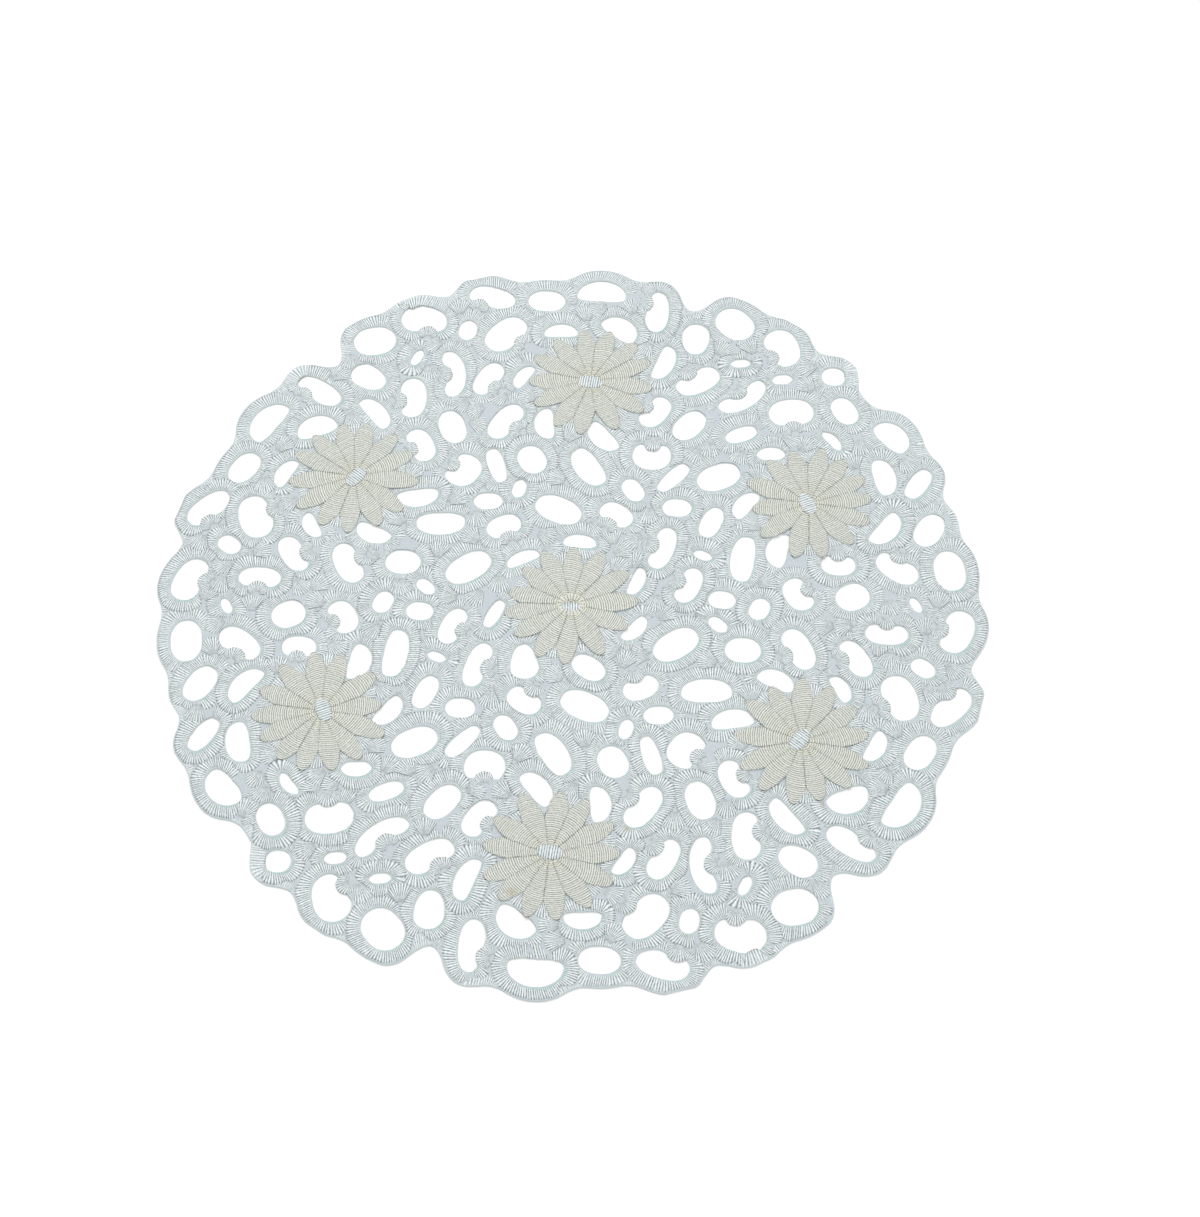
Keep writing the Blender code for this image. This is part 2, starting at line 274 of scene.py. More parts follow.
def cad_corners():
    """The CAD node's welded corners in millimetres and its triangles."""
    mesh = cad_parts[NODE].data
    mesh.calc_loop_triangles()
    corners = np.empty(len(mesh.vertices) * 3, np.float32)
    triangles = np.empty(len(mesh.loop_triangles) * 3, np.int32)
    mesh.vertices.foreach_get("co", corners)
    mesh.loop_triangles.foreach_get("vertices", triangles)
    corners = corners.reshape(-1, 3) / MM
    places, index = np.unique(np.round(corners / WELD).astype(np.int64), axis=0, return_inverse=True)
    return places * WELD, index.ravel()[triangles].reshape(-1, 3)


def cad_loops(corners, triangles):
    """The closed boundaries of the underside, counter-clockwise, the rim first."""
    flat = triangles[(corners[triangles][:, :, 2] < UNDERSIDE_Z).all(axis=1)]
    steps = {(int(a), int(b)) for a, b in np.vstack((flat[:, [0, 1]], flat[:, [1, 2]], flat[:, [2, 0]]))}
    following = {a: b for a, b in sorted(steps) if (b, a) not in steps}
    loops = []
    while following:
        start, place = following.popitem()
        chain = [start]
        while place != start:
            chain.append(place)
            place = following.pop(place)
        loop = corners[chain][:, :2]
        loops.append(loop if area_of(loop) > 0 else loop[::-1])
    return sorted(loops, key=lambda loop: -area_of(loop))


def area_of(loop):
    x, y = loop[:, 0], loop[:, 1]
    return (np.dot(x, np.roll(y, -1)) - np.dot(y, np.roll(x, -1))) / 2


def cad_petals(corners, triangles):
    """Each daisy's centre and its petals' bearings, from the crest edges."""
    centres = [np.zeros(2)] + [DAISY_RING * direction(bearing) for bearing in DAISY_BEARINGS]
    high = corners[:, 2] > CREST_Z
    pairs = np.vstack((triangles[:, [0, 1]], triangles[:, [1, 2]], triangles[:, [2, 0]]))
    pairs = np.unique(np.sort(pairs[high[pairs].all(axis=1)], axis=1), axis=0)
    daisies = [[] for _ in centres]
    for ends in corners[pairs][:, :, :2]:
        middle = ends.mean(axis=0)
        nearest = int(np.argmin([np.linalg.norm(middle - centre) for centre in centres]))
        offsets = ends - centres[nearest]
        outer = offsets[np.argmax(np.linalg.norm(offsets, axis=1))]
        daisies[nearest].append(math.degrees(math.atan2(outer[1], outer[0])))
    return [(centre, sorted(bearings)) for centre, bearings in zip(centres, daisies)]


# --- curves on the plane ---

def smooth_loop(loop):
    """A closed Catmull-Rom curve through a loop's corners."""
    before, after = np.roll(loop, 1, axis=0), np.roll(loop, -1, axis=0)
    beyond = np.roll(loop, -2, axis=0)
    t = (np.arange(CURVE_STEPS) / CURVE_STEPS)[None, :, None]
    a, b, c, d = (part[:, None, :] for part in (before, loop, after, beyond))
    curve = 0.5 * (2 * b + (c - a) * t + (2 * a - 5 * b + 4 * c - d) * t ** 2
                   + (3 * b - 3 * c + d - a) * t ** 3)
    return curve.reshape(-1, 2)


def run_of(curve):
    """Distance along a closed curve at each point, with the whole length last."""
    return np.concatenate(((0,), np.cumsum(np.linalg.norm(np.roll(curve, -1, axis=0) - curve, axis=1))))


def along(values, run, places):
    """Values round a closed curve at places along it."""
    closed = np.vstack((values, values[:1]))
    return np.column_stack([np.interp(places, run, closed[:, axis]) for axis in (0, 1)])


def even(curve, spacing):
    """Points evenly spaced along a closed curve, and the unit normals to its right."""
    run = run_of(curve)
    count = max(FEWEST_POINTS, round(run[-1] / spacing))
    points = along(curve, run, np.arange(count) * run[-1] / count)
    ahead = np.roll(points, -1, axis=0) - np.roll(points, 1, axis=0)
    ahead /= np.linalg.norm(ahead, axis=1, keepdims=True)
    return points, -left_of(ahead)


def smoothed(values, times):
    """Values round a closed loop, averaged with their neighbours."""
    for _ in range(times):
        values = (np.roll(values, 1, axis=0) + 2 * values + np.roll(values, -1, axis=0)) / 4
    return values


def unspiked(values):
    """Values round a closed loop without their narrow peaks."""
    shifts = range(-SPIKE_REACH, SPIKE_REACH + 1)
    for extreme in (np.min, np.max):
        values = extreme([np.roll(values, shift) for shift in shifts], axis=0)
    return values


def dents(curve):
    """Where a hole's edge turns back into the hole: (bottom, normal into the cloth, radius)."""
    points, normal = even(curve, DENT_STEP)
    step = np.roll(points, -1, axis=0) - points
    heading = np.unwrap(np.arctan2(step[:, 1], step[:, 0]))
    turn = np.append(np.diff(heading), heading[0] + 2 * math.pi - heading[-1])
    turn = smoothed(np.roll(turn, 1), DENT_SMOOTHING)
    start = int(np.argmax(turn))
    turn, points, normal = (np.roll(values, -start, axis=0) for values in (turn, points, normal))
    found = []
    back = turn < 0
    place = 0
    while place < len(turn):
        if back[place]:
            stop = place
            while stop < len(turn) and back[stop]:
                stop += 1
            total = -turn[place:stop].sum()
            if total > math.radians(DENT_TURN):
                middle = int(round(np.average(np.arange(place, stop), weights=-turn[place:stop])))
                found.append((points[middle], normal[middle], DENT_STEP * (stop - place) / total))
            place = stop
        place += 1
    return found


# --- what lies where ---

def cells(points):
    """Grid indices of points, kept inside the grid."""
    index = np.round((points + HALF) / CELL).astype(int)
    return np.clip(index, 0, int(2 * HALF / CELL))


def window(points, margin):
    """The part of the grid round some points, and the places of its cells."""
    low, high = cells(points.min(axis=0) - margin), cells(points.max(axis=0) + margin) + 1
    x = np.arange(low[0], high[0]) * CELL - HALF
    y = np.arange(low[1], high[1]) * CELL - HALF
    part = (slice(low[0], high[0]), slice(low[1], high[1]))
    return part, np.stack(np.meshgrid(x, y, indexing="ij"), axis=-1)


def depth_from(edge, normal, places):
    """Signed distance of places from an edge, positive on the normals' side, and the nearest points."""
    flat = places.reshape(-1, 2).astype(np.float32)
    square = ((flat[:, None, :] - edge[None].astype(np.float32)) ** 2).sum(axis=2)
    nearest = square.argmin(axis=1)
    depth = np.sqrt(square[np.arange(len(flat)), nearest])
    sign = np.sign(((flat - edge[nearest]) * normal[nearest]).sum(axis=1))
    return (depth * sign).reshape(places.shape[:-1]), nearest.reshape(places.shape[:-1])


def marched(starts, pointing, longest):
    """Steps along rays, and the grid indices of the cells that they meet."""
    steps = np.arange(MARCH, longest + MARCH, MARCH)
    return steps, cells(starts[:, None] + pointing[:, None] * steps[None, :, None])


def first_step(met, steps):
    """The step at which each ray first meets something."""
    return np.where(met.any(axis=1), steps[met.argmax(axis=1)], np.inf)


def tree_of(points):
    """A search tree that finds the nearest of some points."""
    tree = kdtree.KDTree(len(points))
    for index, point in enumerate(points):
        tree.insert((*point, 0), index)
    tree.balance()
    return tree


class Plan:
    """The grid: which cells are open, which are stitched over, and which of those by fans."""

    def __init__(self):
        size = int(2 * HALF / CELL) + 1
        self.opened = np.full((size, size), CLOTH, np.int16)
        self.taken = np.zeros((size, size), bool)
        self.fanned = np.zeros((size, size), bool)

    def bare(self, rings):
        """The cells that these rings would leave unstitched."""
        trial = Plan()
        trial.opened, trial.taken = self.opened, self.taken.copy()
        for ring in sorted(rings, key=lambda ring: -ring.rank):
            ring.laid(trial)
        return (trial.opened == CLOTH) & ~trial.taken

    def reach(self, obstacles, starts, pointing, longest, own, free=OWN_FREE):
        """How far rays run before they meet obstacles, and before they meet an opening. The opening
        called own is no obstacle to the first free millimetres of a ray."""
        steps, index = marched(starts, pointing, longest)
        taken = obstacles[index[..., 0], index[..., 1]]
        opened = self.opened[index[..., 0], index[..., 1]]
        hit = (opened != CLOTH) & ((opened != own) | (steps > free))
        return first_step(taken, steps), first_step(hit, steps)


def stitch_places(threads):
    """The numbers, lifts and places, in pitches, of the stations along so many stitches."""
    shares, lifts = np.array(STATIONS).T
    number = np.repeat(np.arange(threads), len(shares))
    stray = RANDOM.uniform(0, STRAY_PLACE, threads)[number]
    return number, np.tile(lifts, threads), number + np.tile(shares, threads) + stray


def open_stations(length, pitch=THREAD_PITCH):
    """The stitches' numbers, lifts and places from 0 to 1 along a band that has two ends."""
    threads = max(LEAST_ROW, round(length / pitch))
    number, lift, places = stitch_places(threads)
    return np.append(number, threads - 1), np.append(lift, 0), np.append(places / threads, 1)


def crown_of(rank):
    """Height of the crown of stitches with a rank, mostly from 0 to 1: the higher lie on top."""
    return CROWN_Z[0] + (CROWN_Z[1] - CROWN_Z[0]) * rank


class Ring:
    """Satin stitches along one cut edge: round a hole, or along the rim where side is -1."""

    def __init__(self, loop, label, side, width, rank):
        self.curve = smooth_loop(loop)
        self.label, self.side, self.width, self.rank = label, side, width, rank
        self.edge, self.normal = even(self.curve, EDGE_STEP)
        self.normal = self.normal * side
        self.lean = math.radians(SLANT) * (1 if RANDOM.random() < SLANT_SIDE else -1)
        self.shift = direction(RANDOM.random() * 360) * RANDOM.uniform(*RING_SHIFTS)
        self.sway = 2 * math.pi * RANDOM.integers(*SWAYS)
        self.key = "rim"
        if side > 0:
            middle = self.edge.mean(axis=0)
            turn = math.atan2(middle[1], middle[0]) / (2 * math.pi)
            self.key = f"ring_{math.floor(turn * RING_PIECES) % RING_PIECES + 1}"

    def mark(self, plan):
        """Mark the ring's opening on the plan."""
        margin = SPAN_RIM + EDGE_STEP
        if self.side > 0:
            self.part, places = window(self.edge, margin)
            self.depth, self.nearest = depth_from(self.edge, self.normal, places)
            plan.opened[self.part][self.depth < 0] = self.label
            return
        for start in range(0, len(self.edge), RIM_STRETCH):
            stop = start + RIM_STRETCH + RIM_OVERLAP + 1
            chosen = np.arange(start - RIM_OVERLAP, stop) % len(self.edge)
            part, places = window(self.edge[chosen], margin)
            depth, nearest = depth_from(self.edge[chosen], self.normal[chosen], places)
            plan.opened[part][(depth < 0) & (depth > -margin)] = self.label

    def stations(self):
        """Points along the edge, with normals, lifts and stitches' numbers."""
        points, normal = even(self.curve, STATION_STEP)
        normal = normal * self.side
        step = np.linalg.norm(np.roll(points, -1, axis=0) - points, axis=1)
        offset = points + normal * self.width * PITCH_SHARE
        wide = np.roll(offset, -1, axis=0) - offset
        facing = (wide * (np.roll(points, -1, axis=0) - points)).sum(axis=1)
        weight = np.where(facing > 0, np.linalg.norm(wide, axis=1) / step, 0)
        weight = smoothed(np.clip(weight, *PITCH_CHANGE), PITCH_SMOOTHING)
        run = np.concatenate(((0,), np.cumsum(weight * step)))
        threads = max(LEAST_RING, round(run[-1] / THREAD_PITCH))
        number, lift, places = stitch_places(threads)
        places = places / (threads + STRAY_PLACE) * run[-1]
        found, pointing = along(points, run, places), along(normal, run, places)
        pointing /= np.linalg.norm(pointing, axis=1, keepdims=True)
        return found, pointing, lift, number

    def laid(self, plan):
        """The stitches' starts, directions, widths, lifts and numbers, with their cells taken."""
        points, pointing, lift, number = self.stations()
        phase = self.sway * number / number.max() + self.shift[0] * SWAY_START
        lean = self.lean * (1 + SLANT_SWAY * np.sin(phase))
        leaning = pointing * np.cos(lean)[:, None] + left_of(pointing) * np.sin(lean)[:, None]
        if self.side > 0:
            offset = np.maximum(RING_OFFSET + (pointing * self.shift).sum(axis=1), -RING_INSET)
            span = SPAN_HOLE
        else:
            offset = np.full(len(points), RIM_OFFSET)
            span = 0
        starts = points + leaning * offset[:, None]
        stitched, opening = plan.reach(plan.taken, starts, leaning, SPAN_RIM, self.label)
        met = cells(starts + leaning * np.minimum(opening, SPAN_RIM)[:, None])
        outside = plan.opened[met[:, 0], met[:, 1]] == OUTSIDE
        span = np.where(outside & (self.side > 0), SPAN_RIM, span)
        width = np.where(opening < span, opening - EDGE_GAP, self.width)
        width = np.minimum(width, stitched)
        if self.side > 0:
            width = np.minimum(width, self.own_reach(starts, leaning))
        width = np.maximum(smoothed(unspiked(width), WIDTH_SMOOTHING), THINNEST)
        self.take(plan, points, width + offset)
        return starts, leaning, width, lift, number

    def stitch(self, plan, sheaves):
        crown = crown_of(self.rank)
        starts, leaning, width, lift, number = self.laid(plan)
        lip = np.clip(leaning @ LIP_FACING, 0, 1) * (self.side > 0)
        grid, facts = satin(starts, leaning, width, lift, number, crown, lip=lip)
        sheaves[self.key].add(grid, facts, closed=True)

    def own_reach(self, starts, leaning):
        """How far stitches run before they are nearer to another part of their own edge."""
        steps, index = marched(starts, leaning, SPAN_RIM)
        index = index - [self.part[0].start, self.part[1].start]
        index = np.clip(index, 0, np.array(self.depth.shape) - 1)
        near = self.depth[index[..., 0], index[..., 1]] < OWN_SHARE * steps - OWN_SLACK
        return first_step(near, steps)

    def take(self, plan, points, reach):
        """Mark the stitched cells on the plan."""
        if self.side < 0:
            return
        tree = tree_of(points)
        far = np.array([reach[tree.find((*point, 0))[1]] for point in self.edge])
        over = (self.depth > 0) & (self.depth < far[self.nearest] - TUCK)
        plan.taken[self.part] |= over


class Fan:
    """Stitches that spread from one point, filling a dent or a gap."""

    def __init__(self, middle, facing, spread, length, front, rank, own=None):
        """middle is where the front stands; the stitches start length behind it, and the front's
        radius is front."""
        self.centre = middle - length * direction(facing)
        self.facing, self.spread, self.rank, self.own = facing, spread, rank, own
        self.length, self.front = length, front

    def rays(self, plan):
        """Each station's number, lift, share of the spread, bearing as a vector, and reach."""
        number, lift, places = open_stations(math.radians(2 * self.spread) * FAN_DENSITY * self.length)
        share = 2 * places - 1
        rays = direction(self.facing + self.spread * share)
        angle = np.radians(self.spread * share)
        behind = self.length - self.front
        sideways = np.clip(self.front ** 2 - (behind * np.sin(angle)) ** 2, FAN_FLAT, None)
        longest = behind * np.cos(angle) + np.sqrt(sideways)
        starts = np.tile(self.centre, (len(rays), 1))
        stitched, opening = plan.reach(plan.fanned, starts, rays, self.length, self.own, math.inf)
        reach = np.minimum(longest, np.minimum(stitched, opening - EDGE_GAP))
        mirrored = np.concatenate((reach, reach[::-1]))
        reach = smoothed(unspiked(mirrored), FAN_SMOOTHING)[:len(reach)]
        return number, lift, share, rays, np.maximum(reach, FAN_CORE + THINNEST)

    def cover(self, share, reach):
        """The part of the grid round the fan, and which of its cells lie under the stitches."""
        part, places = window(self.centre[None], self.length)
        offsets = places - self.centre
        bearing = np.degrees(np.arctan2(offsets[..., 1], offsets[..., 0])) - self.facing
        bearing = (bearing + 180) % 360 - 180
        far = np.interp(bearing, self.spread * share, reach)
        inside = np.linalg.norm(offsets, axis=-1) < far - TUCK
        return part, inside & (np.abs(bearing) < self.spread)

    def stitch(self, plan, sheaves):
        number, lift, share, rays, reach = self.rays(plan)
        part, inside = self.cover(share, reach)
        plan.taken[part] |= inside
        plan.fanned[part] |= inside
        fronts = self.centre + rays * reach[:, None]
        crown = crown_of(min(self.rank, FAN_TOP_RANK))
        grid, facts = satin(fronts, -rays, reach - FAN_CORE, lift, number, crown, ends=0)
        key = "fans_left" if self.centre[0] < 0 else "fans_right"
        sheaves[key].add(grid, facts, closed=False)


def shells(ring, plan):
    """Fans over the dents of a hole, standing a little into it."""
    found = []
    longest = SHELL_LOOK * SHELL_LENGTH
    for bottom, normal, radius in dents(ring.curve):
        room = np.min(plan.reach(plan.taken, bottom[None], normal[None], longest, ring.label))
        length = min(SHELL_LENGTH, room - EDGE_GAP + SHELL_PROTRUDES)
        if length < SHELL_LEAST:
            continue
        front = min(float(np.clip(radius, *SHELL_RADII)), SHELL_FRONT * length)
        facing = math.degrees(math.atan2(-normal[1], -normal[0]))
        middle = bottom - normal * SHELL_PROTRUDES
        found.append(Fan(middle, facing, SHELL_SPREAD, length, front, SHELL_RANK, own=ring.label))
    return found


def fills(rings, plan):
    """Fans for the places that the rings leave bare, the widest gaps first."""
    tree = tree_of(np.vstack([ring.edge for ring in rings]))
    bare = plan.bare(rings)
    spots = []
    steps = np.arange(-FILL_LIMIT, FILL_LIMIT, FILL_STEP)
    for x, y in ((x, y) for x in steps for y in steps):
        if math.hypot(x, y) < FILL_LIMIT and bare[tuple(cells(np.array((x, y))))]:
            spots.append((tree.find((x, y, 0))[2], x, y))
    chosen, found = [], []
    for depth, x, y in sorted(spots, reverse=True):
        near = any(math.hypot(x - a, y - b) < FILL_SPACING for a, b in chosen)
        if depth < FILL_DEPTH or near or not bare[tuple(cells(np.array((x, y))))]:
            continue
        fan = best_fan(np.array((x, y)), plan, bare)
        if fan:
            chosen.append((x, y))
            found.append(fan)
    return found


def best_fan(place, plan, bare):
    """The fan over a place that covers the most bare cloth, which then no longer counts as bare."""
    turn = RANDOM.random() * FILL_TURN
    front = RANDOM.uniform(*FILL_FRONTS)
    rank = RANDOM.uniform(*FILL_RANKS)
    around, _ = window(place[None], FILL_LOOK)
    if bare[around].sum() * CELL ** 2 < FILL_AREA:
        return None
    for length in FILL_LENGTHS:
        tried = []
        spread = math.degrees(math.asin(min(FILL_SINE, front / (FILL_FRONT * length))))
        for facing in turn + np.arange(FILL_FACINGS) * 360 / FILL_FACINGS:
            fan = Fan(place + length / 2 * direction(facing), facing, spread, length, length / 2, rank)
            _, _, share, _, reach = fan.rays(plan)
            if reach.mean() > FILL_SHARE * length:
                part, inside = fan.cover(share, reach)
                tried.append(((bare[part] & inside).sum(), len(tried), fan, part, inside))
        if tried:
            count, _, fan, part, inside = max(tried, key=lambda found: found[:2])
            if count * CELL ** 2 > FILL_AREA:
                bare[part] &= ~inside
                return fan
    return None


# --- meshes ---

class Sheaf:
    """Collects tubes of quads with their attributes, for one mesh."""

    def __init__(self):
        self.corners, self.faces, self.facts = [], [], []
        self.count = 0

    def add(self, grid, facts, closed):
        """grid is stations by ring corners by xyz in millimetres; facts is stations by ring by 4."""
        rows, ring = grid.shape[:2]
        index = np.arange(rows * ring).reshape(rows, ring) + self.count
        here, ahead = (index, np.roll(index, -1, axis=0)) if closed else (index[:-1], index[1:])
        quads = np.stack((here, np.roll(here, -1, axis=1), np.roll(ahead, -1, axis=1), ahead), axis=-1)
        self.faces += [tuple(quad) for quad in quads.reshape(-1, 4).tolist()]
        if not closed:
            self.faces.append(tuple(index[0, ::-1].tolist()))
            self.faces.append(tuple(index[-1].tolist()))
        self.corners.append(grid.reshape(-1, 3))
        self.facts.append(facts.reshape(-1, 4))
        self.count += rows * ring

    def made(self, name, material):
        mesh = bpy.data.meshes.new(name)
        mesh.from_pydata((np.vstack(self.corners) * MM).tolist(), [], self.faces)
        shell = bmesh.new()
        shell.from_mesh(mesh)
        bmesh.ops.recalc_face_normals(shell, faces=shell.faces)
        shell.to_mesh(mesh)
        shell.free()
        mesh.shade_smooth()
        colour = mesh.color_attributes.new("stitch", "FLOAT_COLOR", "POINT")
        colour.data.foreach_set("color", np.vstack(self.facts).astype(np.float32).ravel())
        mesh.materials.append(material)
        return linked(name, mesh)


def linked(name, data):
    """A new object in the scene."""
    made = bpy.data.objects.new(name, data)
    bpy.context.scene.collection.objects.link(made)
    return made


def satin(starts, pointing, width, lift, number, crown, warmth=0.0, ends=1, base=EDGE_Z, bow=0.0,
          seam_shade=1.0, lip=0.0):
    """Cross-sections of a satin band: closed rings that run over its top and back underneath, with
    the facts its material uses: tone, lift, distance from the stitches' ends that get painted shade,
    and warmth, which is below 0 where the near ends are a green lip. With ends 0 none of them gets
    painted shade, with 1 the far ones and with 2 both. The bow is how far the stitches bend sideways,
    and the seam shade is how dark the painted shade at their ends is."""
    count = number.max() + 1
    tone = RANDOM.random(count)[number]
    stray = (RANDOM.random(count)[number] - 0.5) * 2 * RAGGED
    stray = stray * np.clip(width / FULL_CROWN - RAGGED_FROM, 0, 1)
    uneven = (RANDOM.random(count)[number] - 0.5) * UNEVEN
    full = np.clip((width - THINNEST) / (FULL_CROWN - THINNEST), 0, 1)
    warmth = np.broadcast_to(warmth, tone.shape)
    grid, facts = [], []
    for rows, top in ((TOP_ROWS, True), (BOTTOM_ROWS, False)):
        for share, height in rows:
            place = starts + pointing * (stray + share * (width - stray))[:, None]
            place = place + bow * (4 * share * (1 - share) * full)[:, None]
            if top:
                valley = VALLEY * (1 - lift) * min(1, VALLEY_RISE * height)
                z = base + ((crown - base) * full + uneven) * height - valley
            else:
                z = base - base * height * np.minimum(1, width / FULL_CROWN) + UNDER_VALLEY * (1 - lift)
            # painted shade at the stitches' ends: inward falls from 1 towards their ends
            within = (1, 1 - share, min(share, 1 - share))[ends]
            inward = 1 - seam_shade * np.clip(1 - within * width / END_SHADE[ends], 0, 1)
            grid.append(np.column_stack((place, z)))
            green = lip * max(0, 1 - share / LIP_SHARE)
            facts.append(np.column_stack((tone, lift, inward, warmth - green)))
    return np.stack(grid, axis=1), np.stack(facts, axis=1)


class Petal:
    """One petal: an axis from its daisy's centre, half widths along it, and cross stitches."""

    def __init__(self, centre, bearing, left_gap, right_gap, top):
        self.centre, self.bearing = centre, bearing
        self.axis, self.reach = direction(bearing), RANDOM.uniform(*PETAL_REACHES)
        self.loose = PETAL_LOOSE[top]
        self.lifted = PETAL_LIFT * top
        self.narrow(left_gap, right_gap)

    def narrow(self, *gaps):
        """Keep to the room between the bearings of the petals on the left and on the right."""
        self.slopes = [math.tan(math.radians(gap) / 2 * self.loose) for gap in gaps]

    def half_width(self, u, side):
        """Half width at a distance u from the centre, to the left (0) or right (1) of the axis."""
        share = np.clip((u - PETAL_ROOT) / (self.reach - PETAL_ROOT), 0, 1)
        leaf = PETAL_WIDEST * np.minimum(1, PETAL_START + PETAL_SWELL * share)
        return np.minimum(leaf * np.sqrt(np.clip(1 - share ** PETAL_TIP, 0, 1)), u * self.slopes[side])

    def room(self, plan, bearing):
        """How far the petal could reach along a bearing before it bites into a hole."""
        self.axis, across = direction(bearing), left_of(direction(bearing))
        whole = self.reach
        reach = whole
        while reach > PETAL_LEAST:
            self.reach = reach
            u = np.linspace(PETAL_ROOT, reach - PETAL_BITE, PETAL_PROBES)
            spine = self.centre + u[:, None] * self.axis
            left, right = (np.maximum(self.half_width(u, side) - PETAL_BITE, 0)[:, None] * across
                           for side in (0, 1))
            index = cells(np.vstack((spine, spine + left, spine - right)))
            if (plan.opened[index[:, 0], index[:, 1]] == CLOTH).all():
                break
            reach -= PETAL_STEP
        self.reach = whole
        return reach

    def settle(self, plan):
        """Turn and shorten the petal so that it stands on the cloth."""
        rooms = [(self.room(plan, self.bearing + turn), -place) for place, turn in enumerate(PETAL_TURNS)]
        self.reach, place = max(rooms)
        self.bearing += PETAL_TURNS[-place]
        self.axis = direction(self.bearing)

    def sides(self, u):
        """The left and the right edge at distances u from the centre."""
        across = left_of(self.axis)
        spine = self.centre + u[:, None] * self.axis
        return (spine + self.half_width(u, 0)[:, None] * across,
                spine - self.half_width(u, 1)[:, None] * across)

    def take(self, plan):
        """Mark the stitched cells on the plan."""
        part, places = window(self.centre[None], self.reach)
        offsets = places - self.centre
        u, v = offsets @ self.axis, offsets @ left_of(self.axis)
        half = np.where(v > 0, self.half_width(u, 0), self.half_width(u, 1))
        inside = (u > 0) & (u < self.reach - TUCK) & (np.abs(v) < half - TUCK)
        plan.taken[part] |= inside | (np.linalg.norm(offsets, axis=-1) < PETAL_ROOT + HEART_TAKEN)

    def stitch(self, sheaves):
        number, lift, places = open_stations(self.reach - PETAL_ROOT, RANDOM.uniform(*PETAL_PITCHES))
        u = PETAL_ROOT + places * (self.reach - PETAL_ROOT)
        tilt = RANDOM.uniform(-PETAL_TILT, PETAL_TILT) * self.half_width(u, 0)
        left = self.sides(np.clip(u + tilt, PETAL_ROOT, self.reach))[0]
        across = self.sides(np.clip(u - tilt, PETAL_ROOT, self.reach))[1] - left
        width = np.maximum(np.linalg.norm(across, axis=1), PETAL_THINNEST)
        pointing = across / width[:, None]
        warmth = np.clip((WARM_REACH - u) / (WARM_REACH - PETAL_ROOT), 0, 1)
        # the petals' edges get painted shade, strongest along their middle, fainter at the root and faint
        # at the tip
        grid, facts = satin(left, pointing, width, lift, number, PETAL_Z + self.lifted, warmth, 2,
                            PETAL_BASE + self.lifted, PETAL_BOW * self.axis,
                            np.interp(places, *PETAL_SEAM_SHADES))
        sheaves["daisies"].add(grid, facts, closed=False)


def petals_of(daisies, plan):
    """Every daisy's petals, each settled on the cloth and kept clear of its neighbours."""
    petals = []
    for centre, bearings in daisies:
        around = [Petal(centre, bearing, *gaps(bearings, place), place in TOP_PETALS)
                  for place, bearing in enumerate(bearings)]
        for petal in around:
            petal.settle(plan)
        bearings = [petal.bearing for petal in around]
        for place, petal in enumerate(around):
            petal.narrow(*gaps(bearings, place))
        petals += around
    return petals


def gaps(bearings, place):
    """Degrees from one petal to the next on its left and on its right."""
    return ((bearings[(place + 1) % len(bearings)] - bearings[place]) % 360,
            (bearings[place] - bearings[place - 1]) % 360)


def bar(centre, bearing, length, width, sheaf):
    """A padded oblong of stitches laid across its length."""
    number, lift, places = open_stations(length)
    places = 2 * places - 1
    half = width / 2 * np.sqrt(1 - BAR_NARROWS * np.abs(places) ** BAR_BLUNT)
    axis = direction(bearing)
    starts = centre + places[:, None] * length / 2 * axis + half[:, None] * left_of(axis)
    pointing = np.tile(-left_of(axis), (len(places), 1))
    grid, facts = satin(starts, pointing, 2 * half, lift, number, BAR_Z, ends=2, base=BAR_BASE)
    sheaf.add(grid, facts, closed=False)


def hearts(daisies, sheaves):
    """A white bar on each outer daisy; a cream ring with a smaller white bar on the middle one."""
    white = sheaves["hearts"]
    for (centre, _), bearing in zip(daisies[1:], DAISY_BEARINGS):
        centre = centre - BAR_INWARD * direction(bearing)
        bar(centre, bearing - 90 + BAR_TURN, BAR_LENGTH, BAR_WIDTH, white)
    bar(np.array((0, MIDDLE_BAR_Y)), 0, *MIDDLE_BAR, white)
    angles = np.linspace(0, 360, MIDDLE_CORNERS, endpoint=False)
    oval = MIDDLE_RING * direction(angles) * (1, MIDDLE_FLATTEN)
    ring = Ring(oval, CLOTH, -1, MIDDLE_BAND, 0)
    points, pointing, lift, number = ring.stations()
    width = np.full(len(points), MIDDLE_BAND)
    grid, facts = satin(points, pointing, width, lift, number, BAR_Z - MIDDLE_LOWER, MIDDLE_WARMTH)
    sheaves["daisies"].add(grid, facts, closed=True)


